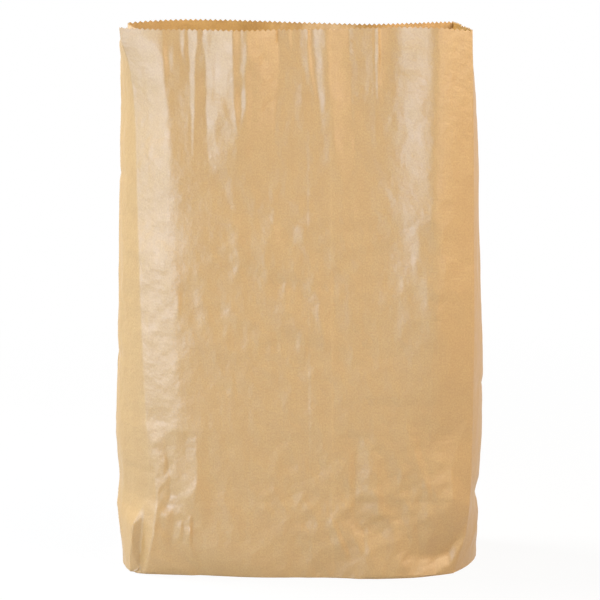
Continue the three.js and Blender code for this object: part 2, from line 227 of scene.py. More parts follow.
# How each departure grows and fades: share of the height, strength
courses = {
    "taper": [(0, 0), (0.45, 0.1), (1, 1)],
    "belly": [(0, 0), (0.4, 1), (1, 0)],
    "leftFold": [(0, -0.05), (0.04, 0), (0.09, 0.15), (0.13, 0.7), (0.15, 0.9), (0.19, 1), (0.33, 0.87),
                 (0.51, 0.72), (0.69, 0.63), (0.87, 0.54), (0.94, 0.3), (0.975, 0.02), (1, -0.05)],
    "rightFold": [(0, 1), (0.1, 0.1), (0.35, -0.15), (0.7, -0.1), (1, 0)],
    "backLeft": [(0, 0.6), (0.5, 1), (0.8, 0.6), (1, 0)],
    "backRight": [(0, 0.3), (0.5, 0), (0.8, 0.3), (1, 1)],
    "leftRoll": [(0, 1), (0.2, 0.65), (0.5, 0.78), (0.85, 0.95), (1, 0.58)],
    "leftStrip": [(0, 1), (0.14, 0.5), (0.33, 0.7), (0.55, 0.72), (0.8, 0.72), (0.94, 0.74), (1, 0.9)],
    "baseStrip": [(0, 1), (0.06, 0.3), (0.14, 0), (0.3, 0), (1, 0)],
    "rightRoll": [(0, 0.75), (0.15, 0.85), (0.4, 0.85), (0.7, 0.85), (1, 0.7)],
    "backRoll": [(0, 0.5), (0.6, 0.7), (1, 1)],
    "leftBulge": [(0, 0.42), (0.05, 0.48), (0.09, 0.57), (0.13, 0.82), (0.22, 1), (0.34, 0.91), (0.5, 0.77),
                  (0.75, 0.54), (0.9, 0.37), (0.96, 0.22), (1, 0.1)],
    "rightBulge": [(0, 1), (0.08, 0.72), (0.13, 0.5), (0.17, 0.7), (0.33, 0.8), (0.6, 0.55),
                   (0.85, 0.45), (1, 0.1)],
    "tuck": [(0, 0), (0.95, 0), (0.975, 0.15), (1, 1)],
    "pinch": [(0, 0), (0.4, 0), (1, 1)],
    "flare": [(0, 0), (0.92, 0), (0.96, 0.25), (1, 1)],
    "hollow": [(0, 0), (0.5, 0), (0.7, 0.3), (0.85, 0.95), (1, 1)],
    "rightTurn": [(0, 0.3), (0.12, 0.5), (0.25, 0.5), (0.4, 0.2), (0.55, 0), (1, 0)],
    "rightRidge": [(0, 0), (0.24, 0), (0.36, 0.3), (0.5, 0.65), (0.7, 0.82), (0.85, 1), (1, 1)],
    "stripBend": [(0, 0.3), (0.55, 0.35), (0.72, 0.22), (0.8, 0.12), (1, 0.1)],
    "lining": [(0, 0), (0.3, 0), (0.7, 0.7), (0.9, 1), (1, 1)],
    "drawnOut": [(0, 0), (0.65, 0), (0.85, 1), (1, 1)],
    # across the rim instead: from the left on the front, from the right on the back
    "frontRim": [(0, 0), (0.12, -0.5), (0.5, -0.5), (0.75, 0.8), (0.9, 1), (1, -1.1)],
    "foldAcross": [(0, 1), (0.2, 0.9), (0.32, 0.2), (0.45, 0.5), (0.58, 0.15), (0.7, 0.9), (1, 1)],
    "backRim": [(0, -0.1), (0.3, -0.7), (0.5, -0.6), (0.67, 0.5), (0.83, 1), (0.93, 0.5), (1, -0.5)],
}

# Rounded wrinkles: from and to (-1 to 1 across, 0 to 1 up), share of the full rise, share of the full width
frontWrinkles = [
    ((0.31, 0.26), (0.34, 0.1), -0.3, 0.8),
    ((0.45, 0.26), (0.47, 0.11), 0.3, 0.8),
    ((0.18, 0.11), (0.42, 0.03), 0.3, 0.9),
    ((0.62, 0.24), (0.82, 0.13), 0.5, 1.4),
    ((-0.84, 0.25), (-0.6, 0.15), 0.3, 1.1),
    ((-0.82, 0.1), (-0.62, 0.1), -0.5, 1.1),
    ((-0.9, 0.13), (-0.91, 0), 0.4, 0.7),
    ((-0.2, 0.62), (0.06, 0.5), 0.4, 1.5),
]
backWrinkles = [
    ((0.5, 0.96), (0.42, 0.7), -0.8, 1.4),
    ((-0.3, 0.95), (-0.36, 0.72), 0.7, 1.2),
    ((-0.7, 0.3), (-0.4, 0.16), 0.8, 1.3),
    ((0.75, 0.28), (0.5, 0.1), -0.8, 1.3),
]

# Creased areas of the front. In each, crease lines go from point to point (mm across, mm up, mm outwards),
# the first one closed around the area, and the paper is flat between them.
creasedAreas = {
    "topLeft": [
        [(-84, 348, 0), (-83, 300, 0), (-80, 250, 0), (-42, 232, 0), (-20, 238, 0), (-16, 281, 0),
         (-13, 318, 0), (-12, 348, 0)],
        [(-79.5, 348, -0.8), (-79, 328, -0.9), (-77.5, 300, -0.6), (-77, 270, -0.2)],
        [(-74, 348, -0.9), (-73, 332, -1), (-72, 300, -0.7), (-72, 265, -0.2)],
        [(-70.4, 348, 0.7), (-70.4, 338, 0.3), (-71.4, 331, -0.5)],
        [(-69, 348, 0.2), (-68.7, 334, -0.8), (-67.2, 318, -1), (-67, 300, -0.7), (-66.8, 281, -0.4),
         (-66, 265, 0)],
        [(-62.4, 348, 3), (-63, 338, 1.9), (-64.2, 330, 1), (-64.6, 318, 0.5), (-64.8, 300, 0.4),
         (-65.2, 281, 0.2)],
        [(-59, 348, 1.8), (-59.8, 336, 1), (-60, 318, -0.1), (-60.5, 296, -0.2)],
        [(-58.2, 335, 0.8), (-57.8, 318, -0.3), (-58, 300, -0.5), (-57, 281, -0.4), (-56, 262, 0)],
        [(-53, 340, 3.9), (-52, 322, 2.6), (-51.5, 306, 1.6)],
        [(-47, 336, 6), (-47.5, 318, 4.5), (-46, 302, 3.7)],
        [(-41, 348, 9.4), (-41, 332, 8.6), (-40.5, 318, 7.6), (-40, 300, 5.6), (-38, 281, 3), (-40, 256, 1)],
        [(-36.2, 348, 8.2), (-36.6, 332, 7.2), (-37.5, 320, 6.7)],
        [(-34.6, 336, 7.9), (-35, 328, 7)],
        [(-32.2, 348, 9.2), (-32, 332, 8.3), (-33.2, 322, 7.3)],
        [(-38.6, 312.6, 6.8), (-34, 314.5, 6.9), (-29.4, 317, 5.6)],
        [(-36, 309, 5), (-36, 298, 4.1)],
        [(-33, 307, 6), (-33, 295, 4.7), (-33, 281, 2.4)],
        [(-29.5, 307, 4.5), (-29, 294, 3.2)],
        [(-24, 340, 5.4), (-23, 318, 3.8), (-23, 290, 1.7)],
    ],
    "topRight": [
        [(-14, 348, 0), (-13, 300, 0), (0, 250, 0), (30, 232, 0), (60, 236, 0), (66, 270, 0), (63, 320, 0),
         (62, 348, 0)],
        [(-6.5, 348, 0.3), (-6.4, 336, 0.1)],
        [(-5.2, 348, -0.5), (-5, 330, -0.2)],
        [(-0.6, 348, -0.2), (0.5, 325, -0.2), (6, 290, 0)],
        [(4.6, 348, 1.1), (5.4, 325, 0.9), (10, 300, 0.2)],
        [(6.2, 348, -0.3), (7.4, 325, -0.2)],
        [(8.4, 348, -0.2), (9, 332, -0.1), (12, 300, 0), (15, 270, 0)],
        [(15, 348, 2.1), (17, 325, 1.9), (19.5, 300, 1.4), (22, 270, 0.8)],
        [(20, 348, 1.6), (22, 325, 1.4), (24, 290, 0.8)],
        [(29.5, 348, -0.5), (30.5, 325, -0.5), (31.5, 300, -0.4), (34, 268, -0.2)],
        [(44.6, 348, 3.3), (45, 325, 2.7), (46, 300, 1.9), (47, 270, 0.9)],
        [(45.4, 348, 3), (45.7, 325, 2.4), (46.6, 304, 1.8)],
        [(47.7, 348, 4), (47.8, 325, 3.3), (48, 302, 2.2)],
        [(49.4, 348, 2.5), (49.6, 325, 2), (50, 300, 1.4)],
    ],
    "lowerLeft": [
        [(-116, 64, 0), (-116, -4, 0), (-60, -4, 0), (-56, 40, 0), (-58, 106, 0), (-78, 118, 0),
         (-98, 106, 0)],
        [(-94, 84, 0.4), (-92, 64, 0.8), (-90.5, 52, 1.2), (-91, 42, 2.7), (-92.5, 28, 4.7), (-95.5, 14, 6),
         (-99, 2, 4)],
        [(-97.5, 47, -0.8), (-99.5, 38, -1.6), (-100.5, 26, -1.8), (-101.5, 12, -0.8), (-102.5, 2, 0)],
        [(-105, 44, -2.2), (-106, 33, 1.8), (-107.5, 14, 2.6)],
        [(-84.5, 94, -0.8), (-83.5, 80, -2.4), (-82.5, 69.5, -4.4)],
        [(-91, 66, 0.6), (-86.5, 66.4, -1.4), (-81.5, 66.6, -3)],
        [(-87, 60, -0.8), (-82, 59, -3.4), (-82, 53, -3.8), (-88.5, 53, -0.6)],
        [(-89.5, 51.2, 1), (-82, 50.8, -2.4), (-73, 51, -0.4)],
        [(-65.6, 98, 0.2), (-65, 84, 0.8), (-64.5, 70, 1), (-64.6, 58, 1.2), (-67, 50, 0.9), (-73.5, 44, 0)],
        [(-71, 92, -0.8), (-71.5, 78, -1.2), (-73.5, 66, -1.4), (-74.5, 57, -1.8)],
        [(-78.5, 90, -1), (-78, 76, -2), (-78, 62, -2.4)],
        [(-84, 46, -2.6), (-77, 47, -1.2)],
        [(-88.5, 40.4, 1.4), (-80, 40.6, -0.6), (-74, 40.4, 0.2), (-66, 40.4, 0.5)],
        [(-87, 33, 0.6), (-80, 33.5, -1.4), (-77, 38, -0.8)],
        [(-75.5, 32, 0.6), (-77.5, 24, 0.9)],
        [(-79.2, 31, -0.9), (-80.5, 23, -0.2)],
        [(-73.6, 38.6, -0.4), (-73.4, 24, -0.2)],
        [(-69.2, 38.6, 1.4), (-69.3, 30, 1.7), (-70.2, 22.5, 1)],
        [(-67.8, 38.6, 0), (-68, 22, 0)],
    ],
    "lowerRight": [
        [(10, 40, 0), (14, -4, 0), (116, -4, 0), (116, 40, 0), (106, 100, 0), (66, 104, 0), (24, 96, 0)],
        [(31.5, 88, 0.1), (31.3, 66, 0.2), (31, 44, 0.2)],
        [(35.5, 88, -0.3), (35, 70, -0.8), (34.8, 50, -1), (35.6, 40, -0.5)],
        [(43, 84, 0.3), (43, 60, 0.4), (44, 41, 0.2)],
        [(48.5, 78, 0.5), (48.5, 55, 0.7), (49, 41, 0.4)],
        [(53, 78, -0.2), (53, 55, -0.4), (53, 41, -0.2)],
        [(67, 96, 0.2), (71, 84, 0.6), (77, 67, 1), (83.5, 50, 2.4)],
        [(74, 92, -0.6), (76.5, 80, -0.6), (82, 64, 0.4), (87.5, 50, 3.8)],
        [(62, 70, 0), (66, 52, 0), (76, 50.4, 0.4)],
        [(92, 92, -1), (95, 70, 1.6), (97, 50, 6.4)],
        [(73, 37.5, 0.4), (80, 40, 2), (88, 39, 3.4), (98, 36, 3.4)],
        [(43, 37.4, -1), (54, 37.6, -1.7), (64, 37.4, -1.4)],
        [(42.6, 30, -0.3), (44, 18, 1.4), (46, 8, 2.6)],
        [(56, 14, 2.6), (63, 11, 2.8)],
        [(67, 33, -0.2), (69, 17, 0)],
        [(70, 13.5, -0.8), (77, 12.5, -2), (86, 11.5, -2.6), (94, 12, -2.4)],
        [(48, 2, 3.6), (60, 1, 3.6), (72, 1, 3.2), (86, 1, 3.2), (94, 1, 2.4)],
        [(39.8, 30, -0.8), (41, 17, 0.6)],
        [(16, 36, -0.2), (25, 13, 0)],
        [(20, 38, 0.6), (25, 25, 1.3), (29.5, 14, 0.8)],
        [(23.2, 37, -0.4), (32, 14, 0)],
        [(31, 38, 0.4), (35.4, 26, 1.4), (39, 15, 1)],
        [(102, 26, -0.6), (97, 18, -2)],
        [(106, 23, 0.6), (100, 14, 1.2), (96, 6, 2.2)],
        [(107, 6, -0.4), (100, 1, 1)],
    ],
}

# Short creases of the middle, each like a low roof or, where it sinks, a gutter: from and to (mm across,
# mm up), drawn downwards or to the right, rise of the ridge, and width of its left or lower slope and of
# its right or upper one
frontCreases = [
    ((26, 146), (48, 146), -0.5, (3, 3)),
    ((18, 112), (82, 112), -0.5, (5, 4)),
    ((-28, 133), (-12, 133), 0.5, (3, 3)),
    ((0, 132), (13, 132), 0.5, (3, 3)),
    ((-75, 185), (-76, 165), 0.6, (3, 2)),
    ((-82, 338), (-80, 318), -1, (2, 3)),
    ((48, 332), (78, 331), 0.35, (3, 3)),
    ((52, 322), (80, 320), -0.3, (3, 3)),
]

# Nicks where the gussets have been bent across: height (mm) and depth
gussetNicks = {-1: [(253, 1), (137, 0.7), (42, 0.6)], 1: [(119, 1.2), (46, 0.5)]}

# Where the front is crumpled: middle of the area (mm across, up), its reach each way, strength
frontAreas = [
    ((-46, 316), (34, 46), 0.8),
    ((34, 312), (40, 50), 0.7),
    ((-8, 190), (66, 70), 0.9),
    ((-82, 66), (20, 36), 0.35),
    ((46, 52), (40, 36), 0.8),
    ((-10, 40), (70, 34), 0.8),
    ((-93, 200), (13, 130), 0.3),
    ((78, 190), (18, 110), 0.4),
]

# Short creases drawn by lot: their area and number, their lean from upright and its spread (degrees), then
# the shortest and longest, the narrowest and widest, and the lowest and highest crease (mm)
crumples = {
    "middle": {"across": (-66, 52), "up": (104, 262), "number": 70, "lean": (20, 60),
               "length": (6, 24), "width": (1.5, 4), "rise": (0.06, 0.2)},
    "leftStrip": {"across": (-102, -76), "up": (60, 336), "number": 24, "lean": (8, 40),
                  "length": (10, 40), "width": (2, 6), "rise": (0.06, 0.2)},
}

# How much each kind of crease adds to the wear of the paper, which goes from 0 to 1
wearShare = {"crease": 0.5, "crumple": 0.4, "fold": 0.3, "foldLine": 0.3, "markLine": 0.18, "seam": 0.5}

halfWidth = sheet["front"] / 2
halfDepth = sheet["gusset"] / 2
perimeter = 2 * (sheet["front"] + sheet["gusset"])
foldHeight = sheet["gusset"] / 2
markHeight = sheet["gusset"]
baseLevel = 2 * sheet["paper"]


def course(name, at):
    # smooth curve through the stops: a cubic between two stops, which passes each one in the direction
    # from the stop before it to the stop after it
    stop, value = np.array(courses[name], float).T
    ends = np.r_[stop[1:], stop[-1]] - np.r_[stop[0], stop[:-1]]
    grade = (np.r_[value[1:], value[-1]] - np.r_[value[0], value[:-1]]) / ends
    i = np.clip(np.searchsorted(stop, at) - 1, 0, len(stop) - 2)
    span = stop[i + 1] - stop[i]
    rise = value[i + 1] - value[i]
    t = (at - stop[i]) / span
    bend = (grade[i] * (1 - t) - grade[i + 1] * t) * span + rise * (2 * t - 1)
    return value[i] + rise * t + t * (1 - t) * bend


def slope(share, bend=0.25):
    # 1 at a fold, straight down to 0 at the far edge of the strip, with a soft bend there
    def ramp(a):
        return (a + np.hypot(a, bend)) / 2
    return ramp(1 - share) / ramp(1)


def swell(distance, width):
    return np.exp(-(distance / width) ** 2)


def ridge(distance, width):
    return np.exp(-np.abs(distance) / width)


def fromLine(x, z, start, end):
    # distance of each point from a line between two points, in the plane of a panel
    along = np.subtract(end, start)
    share = np.clip(((x - start[0]) * along[0] + (z - start[1]) * along[1]) / along.dot(along), 0, 1)
    return np.hypot(x - start[0] - share * along[0], z - start[1] - share * along[1])


def relief(wrinkles, x, z):
    # sum of rounded ridges, each about its line and dying away past its ends
    height = np.zeros(np.broadcast(x, z).shape)
    for start, end, rise, width in wrinkles:
        start, end = (np.multiply(p, (halfWidth, sheet["height"])) for p in (start, end))
        aside = fromLine(x, z, start, end)
        height += stand["wrinkleRise"] * rise * swell(aside, stand["wrinkleWidth"] * width)
    return height


def drawnCreases():
    # creases drawn by lot inside their areas, the same ones each time
    lines = []
    lot = np.random.default_rng(stand["creaseLot"])
    for area in crumples.values():
        count = area["number"]
        middle = np.stack([lot.uniform(*area["across"], count), lot.uniform(*area["up"], count)], -1)
        turn = np.radians(lot.normal(*area["lean"], count))
        reach = lot.uniform(*area["length"], count) / 2
        half = np.stack([np.sin(turn), np.cos(turn)], -1) * reach[:, None]
        height = lot.uniform(*area["rise"], count) * lot.choice((-1, 1), count)
        lines += zip(middle - half, middle + half, height, lot.uniform(*area["width"], (count, 2)))
    return lines


def waves(x, z, lengths, lot):
    # waves of the given lengths in mm, running every way across each other, about 1 high
    chance = np.random.default_rng(lot)
    total = 0
    for length in lengths:
        turn, phase = chance.uniform(0, 2 * np.pi, 2)
        total = total + np.sin((x * np.cos(turn) + z * np.sin(turn)) * 2 * np.pi / length + phase)
    return total / math.sqrt(len(lengths) / 2)


def crumple(x, z, tall=1):
    # crumpled paper: soft waves folded up where they pass through nothing, so that a sharp crease wanders
    # along there; coarse and fine sets, drawn out upwards by the given number. The second sheet returned is
    # how worn the paper is, along those creases
    height = 0
    worn = 0
    for lot, size in stand["crumpleSets"]:
        flow = waves(x, z / tall, np.multiply(stand["crumpleLengths"], size), lot)
        height = height + size * (stand["crumpleLevel"] - np.abs(flow))
        worn = worn + size * np.exp(-(flow / stand["crumpleEdge"]) ** 2)
    return stand["crumpleRise"] * height, stand["crumpleWear"] * worn


def crumpledFront(x, z):
    # the crumpling of the front, stronger in its areas; towards the mouth the creases are drawn out upwards
    strength = stand["crumpleLeast"]
    for (atX, atZ), (reachX, reachZ), share in frontAreas:
        strength = strength + share * np.exp(-((x - atX) / reachX) ** 2 - ((z - atZ) / reachZ) ** 2)
    upper = course("drawnOut", z / sheet["height"])
    low, high = crumple(x, z), crumple(x, z, stand["crumpleTall"])
    return [strength * (a * (1 - upper) + b * upper) for a, b in zip(low, high)]


def roofs(lines, x, z):
    # sum of creases: each falls straight from its ridge to both sides, and its ridge falls to both ends in a
    # bow. The second sheet returned is how worn the paper is, along the ridges
    height = np.zeros(np.broadcast(x, z).shape)
    worn = np.zeros_like(height)
    for start, end, rise, widths in lines:
        along = np.subtract(end, start)
        share = ((x - start[0]) * along[0] + (z - start[1]) * along[1]) / along.dot(along)
        aside = ((x - start[0]) * along[1] - (z - start[1]) * along[0]) / -np.hypot(*along)
        bow = np.clip(4 * share * (1 - share), 0, None)
        height += rise * bow * np.clip(1 - np.maximum(-aside / widths[0], aside / widths[1]), 0, None)
        worn += abs(rise) * bow * np.exp(-(aside / stand["wearWidth"]) ** 2)
    return height, worn


def creasedPaper(x, z):
    # each area falls into triangles between its crease lines, and each triangle is a plane: the three shares
    # of its corners at a point, times their heights
    x, z = np.broadcast_arrays(x, z)
    height = np.zeros(x.shape)
    for lines in creasedAreas.values():
        spots = [spot for line in lines for spot in line]
        start = np.cumsum([0] + [len(line) for line in lines])
        edges = [(i, i + 1) for a, b in zip(start[:-1], start[1:]) for i in range(a, b - 1)]
        edges.append((int(start[1]) - 1, 0))
        flat = [Vector(spot[:2]) for spot in spots]
        # 1 asks for the triangles inside the outline only
        corners, _, faces, origins, _, _ = delaunay_2d_cdt(flat, edges, [], 1, 1e-4)
        rise = [spots[origin[0]][2] for origin in origins]
        for a, b, c in faces:
            (ax, az), (bx, bz), (cx, cz) = corners[a], corners[b], corners[c]
            area = (bx - ax) * (cz - az) - (cx - ax) * (bz - az)
            shareB = ((x - ax) * (cz - az) - (cx - ax) * (z - az)) / area
            shareC = ((bx - ax) * (z - az) - (x - ax) * (bz - az)) / area
            shareA = 1 - shareB - shareC
            inside = np.minimum(np.minimum(shareB, shareC), shareA) > -1e-9  # points on a line too
            plane = rise[a] * shareA + rise[b] * shareB + rise[c] * shareC
            height = np.where(inside, plane, height)
    return height


frontLines = frontCreases + drawnCreases()


def acrossBag(flat, leftIn, rightIn, h):
    # place across the bag: its place on the flat paper, drawn in near the two folds
    def spread(distance):
        return np.maximum(1 - distance / stand["foldSpread"], 0) ** 2
    drawn = leftIn * spread(flat + halfWidth) - rightIn * spread(halfWidth - flat)
    return flat - stand["mouthLean"] * h + drawn


def frontPlace(flat, h):
    # places across of the left fold, the point itself and the right fold
    leftIn = stand["leftFold"] * course("leftFold", h)
    rightIn = stand["rightFold"] * course("rightFold", h)
    return [acrossBag(f, leftIn, rightIn, h) for f in (-halfWidth, flat, halfWidth)]


def frontPanel(flat, h, crinkle=1):
    # y of the front: its taper and belly, a strip turned back at each fold, the ridge beside the right one,
    # the pinch, wrinkles and fold lines, and the given share of its fine creases
    left, x, right = frontPlace(flat, h)
    z = h * sheet["height"]
    across = flat / sheet["front"] + 0.5  # 0 at the left fold, 1 at the right one
    wide = course("baseStrip", h)
    strip = stand["leftStrip"] * course("leftStrip", h) * (1 - wide) + stand["baseStrip"] * wide
    leftRoll = stand["leftRoll"] * course("leftRoll", h)
    rightRoll = stand["rightRoll"] * course("rightRoll", h)
    turn = course("rightTurn", h)
    foot = right - stand["rightStrip"] - x
    foot = (foot + np.hypot(foot, stand["ridgeRound"])) / 2 / stand["ridgeFoot"]
    pinch = swell(x - stand["frontPinchAt"] * halfWidth, stand["frontPinchWidth"]) * course("hollow", h)
    lines = (stand["foldMark"] * ridge(z - markHeight, stand["foldReach"])
             - stand["foldValley"] * ridge(z - foldHeight, stand["foldReach"]))
    y = (-halfDepth + stand["frontTaper"] * course("taper", h) - stand["frontBelly"] * course("belly", h)
         + leftRoll * slope((x - left) / strip, course("stripBend", h))
         + rightRoll * (1 - turn) * slope((right - x) / stand["rightStrip"])
         + rightRoll * turn * slope((right - x) / stand["rightTurn"])
         - stand["rightRidge"] * course("rightRidge", h) * slope(foot, stand["ridgeBend"])
         + stand["frontPinch"] * pinch - relief(frontWrinkles, x, z)
         - lines * course("foldAcross", across))
    lap = stand["lapRipple"] * swell(x - sheet["seam"], stand["lapReach"])
    lap = lap * np.sin(z / stand["rippleLength"] + np.sin(z / stand["rippleDrift"]))
    cockles = stand["cockleRise"] * waves(x, z, stand["cockleLengths"], stand["cockleLot"])
    fine = creasedPaper(x, z) + roofs(frontLines, x, z)[0] + crumpledFront(x, z)[0] + lap + cockles
    rim = stand["rimRise"] * course("frontRim", across) * course("pinch", h)
    return np.stack(np.broadcast_arrays(x, y - crinkle * fine, z + rim), -1)


def backPanel(flat, h, crinkle=1):
    # y of the back, built up like the front; flat runs from right (+) to left (-)
    leftIn = stand["backLeft"] * course("backLeft", h)
    rightIn = stand["backRight"] * course("backRight", h)
    left, x, right = (acrossBag(f, leftIn, rightIn, h) for f in (-halfWidth, flat, halfWidth))
    z = h * sheet["height"]
    pinch = swell(x - stand["backPinchAt"] * halfWidth, stand["backPinchWidth"]) * course("pinch", h)
    y = (halfDepth - stand["backTaper"] * course("taper", h) + stand["backBelly"] * course("belly", h)
         - stand["backRoll"] * course("backRoll", h) * slope((x - left) / stand["backStrip"])
         - stand["backRightRoll"] * course("backRoll", h) * slope((right - x) / stand["backStrip"])
         - stand["backPinch"] * pinch + stand["backFlare"] * course("flare", h)
         + relief(backWrinkles, x, z))
    y = y + crinkle * stand["crumpleBack"] * crumple(x, z + sheet["height"])[0]
    rim = stand["rimRise"] * course("backRim", 0.5 - flat / sheet["front"]) * course("pinch", h)
    return np.stack(np.broadcast_arrays(x, y, z + rim), -1)


def gusset(start, end, share, h, side, bulge, tuck, crinkle=1):
    # straight from fold to fold, pushed out in a round, with its fold lines and its tuck at the mouth
    point = start * (1 - share)[..., None] + end * share[..., None]
    fromMiddle = 2 * share - 1
    roundness = 1 - fromMiddle ** 2
    vee = 1 - np.abs(fromMiddle)
    z = h * sheet["height"]
    middleLine = ridge(fromMiddle * halfDepth, stand["creaseWidth"])
    cornerLines = ridge(z - foldHeight * vee, stand["creaseWidth"])
    low, high = stand["creaseMeeting"]
    above = np.clip((z / foldHeight - low) / (high - low), 0, 1)
    above = above * above * (3 - 2 * above)  # soft at both ends
    crease = stand["gussetCrease"] * middleLine * above - stand["cornerCrease"] * cornerLines * (1 - above)
    for at, depth in gussetNicks[side]:
        crease = crease + depth * ridge(z - at, stand["nickReach"])
    place = side * halfWidth + fromMiddle * halfDepth
    crease = crease - crinkle * stand["crumpleBack"] * crumple(place, z, stand["crumpleTall"])[0]
    offset = side * ((bulge - crease) * roundness - stand["mouthTuck"] * tuck * vee)
    drop = stand["tuckDrop"] * tuck * vee
    return point + np.stack([offset, np.zeros_like(offset), -np.broadcast_to(drop, offset.shape)], -1)


def bagSurface(u, z, crinkle=1):
    # the sheet's outer face: u runs around the bag from the front-left fold, z up it
    width, depth = sheet["front"], sheet["gusset"]
    panels = np.searchsorted([width, width + depth, 2 * width + depth], u, side="right")

    def part(panel, start):
        chosen = panels == panel
        return u[chosen][None, :] - start, z[:, chosen] / sheet["height"]

    at, h = part(0, 0)
    front = frontPanel(at - halfWidth, h, crinkle)
    at, h = part(1, width)
    edges = frontPanel(halfWidth, h, crinkle), backPanel(halfWidth, h, crinkle)
    bulge = stand["rightBulge"] * course("rightBulge", h)
    right = gusset(*edges, at / depth + 0 * h, h, 1, bulge, 0 * h, crinkle)
    at, h = part(2, width + depth)
    back = backPanel(halfWidth - at, h, crinkle)
    at, h = part(3, 2 * width + depth)
    edges = backPanel(-halfWidth, h, crinkle), frontPanel(-halfWidth, h, crinkle)
    bulge = stand["leftBulge"] * course("leftBulge", h)
    left = gusset(*edges, at / depth + 0 * h, h, -1, bulge, course("tuck", h), crinkle)
    return np.concatenate([front, right, back, left], 1)


def sheetWear(u, z):
    # how worn the paper is: along the creases and fold lines of the front, the four folds and the seam
    width, depth = sheet["front"], sheet["gusset"]
    reach = stand["wearWidth"]
    h = z / sheet["height"]
    x = frontPlace(u[None, :] - halfWidth, h)[1]
    front = (wearShare["crease"] * roofs(frontLines, x, z)[1]
             + wearShare["crumple"] * crumpledFront(x, z)[1]
             + wearShare["foldLine"] * ridge(z - foldHeight, reach)
             + wearShare["markLine"] * ridge(z - markHeight, reach)) * (u < width)
    corners = np.array([0, width, width + depth, 2 * width + depth, perimeter])
    folds = wearShare["fold"] * ridge(np.abs(u[:, None] - corners).min(1), reach)
    seam = wearShare["seam"] * ridge(u - halfWidth - sheet["seam"], reach)
    return np.clip(front + folds + seam, 0, 1)


def sheetNormals(points):
    # square to the sheet: along u crossed with up z, by differences between neighbours
    around = np.roll(points, -1, 1) - np.roll(points, 1, 1)
    up = np.gradient(points, axis=0)
    normal = np.cross(around, up)
    return normal / np.linalg.norm(normal, axis=-1, keepdims=True)


def sawCut(u):
    # the mouth is sawn through the flattened tube, so the teeth count across that: triangles of one pitch
    width, depth = sheet["front"], sheet["gusset"]
    across = np.interp(u, np.cumsum([0, width, depth / 2, depth / 2, width, depth / 2, depth / 2]),
                       [0, width, width - depth / 2, width, 0, depth / 2, 0])
    phase = np.mod(across / sheet["toothPitch"] + 1e-6, 1)  # a hair more, so that no tooth starts at 1
    return sheet["height"] - sheet["toothHeight"] * np.abs(2 * phase - 1)


def columnPlaces():
    width, depth = sheet["front"], sheet["gusset"]
    fine = sheet["toothPitch"] / sheet["frontSteps"]
    coarse = sheet["toothPitch"] / sheet["otherSteps"]
    front = np.arange(round(width / fine)) * fine
    rest = width + np.arange(round((width + 2 * depth) / coarse)) * coarse
    return np.r_[front, rest]


def rowHeights():
    # close rows by the base fold, one on each fold line, and even ones above
    top = sheet["height"] - sheet["toothHeight"] - sheet["rimRow"]
    middle = np.linspace(*sheet["middleRows"], endpoint=False)
    upper = np.linspace(sheet["middleRows"][1], top, sheet["upperRows"])
    return np.r_[baseLevel, sheet["footRows"], np.arange(*sheet["lowRows"]), middle, upper]


def liningHeights():
    top = sheet["height"] - sheet["toothHeight"] - sheet["rimRow"]
    bottom = baseLevel + sheet["paper"]
    middle = sheet["liningSplit"] * sheet["height"]
    low, high = sheet["liningRows"]
    upper = np.linspace(middle, top - sheet["liningRim"], high)
    return np.r_[np.linspace(bottom, middle, low)[:-1], upper, top]


def bagPoints():
    # the outer skin with its teeth, and the lining: it stands off the skin's creases, less and less towards
    # the mouth, and meets the skin along the rim
    u = columnPlaces()
    teeth = sawCut(u)
    z, below = (np.vstack([np.repeat(rows[:, None], len(u), 1), teeth])
                for rows in (rowHeights(), liningHeights()))
    outer = bagSurface(u, z)
    seamEdge = halfWidth + sheet["seam"]
    double = (u > seamEdge - sheet["lap"]) & (u < seamEdge)
    outer += sheetNormals(outer) * (sheet["paper"] * double)[None, :, None]
    inner = bagSurface(u, below, course("lining", below[:, :1] / sheet["height"]))
    low, high = sheet["liningGap"]
    inner -= sheetNormals(inner) * high
    further = (low - high) * (1 - course("lining", below / sheet["height"]))
    inner[..., 0] *= 1 - further / halfWidth
    inner[..., 1] *= 1 - further / halfDepth
    inner[-2:] = outer[-2:] - sheetNormals(outer)[-2:] * sheet["paper"]
    inner[0, :, 2] = baseLevel + sheet["paper"]
    return u, z, below, outer, inner


def gridFaces(rows, columns, start):
    index = np.arange(rows * columns).reshape(rows, columns) + start
    after = np.roll(index, -1, 1)
    return index, np.stack([index[:-1], after[:-1], after[1:], index[1:]], -1).reshape(-1, 4)


def gridUv(u, z):
    # place on the flat sheet of each face's corners, around the tube and up it
    place = np.stack(np.broadcast_arrays(u[None, :], z), -1)
    ahead = np.roll(place, -1, 1)
    ahead[:, -1, 0] = perimeter
    return np.stack([place[:-1], ahead[:-1], ahead[1:], place[1:]], -2).reshape(-1, 4, 2)


def flapOutline(ring, u, side):
    # a base flap: along the fold of the front (side -1) or the back (side 1), its ends cut at 45 degrees
    width, depth = sheet["front"], sheet["gusset"]
    reach = halfDepth + sheet["flapOverlap"] / 2
    if side < 0:
        edge = ring[(u >= 0) & (u <= width), :2]
    else:
        edge = ring[(u >= width + depth) & (u <= 2 * width + depth), :2]
    end = np.array([(halfWidth - reach, reach - halfDepth), (reach - halfWidth, reach - halfDepth)]) * (-side)
    return np.concatenate([edge, end])


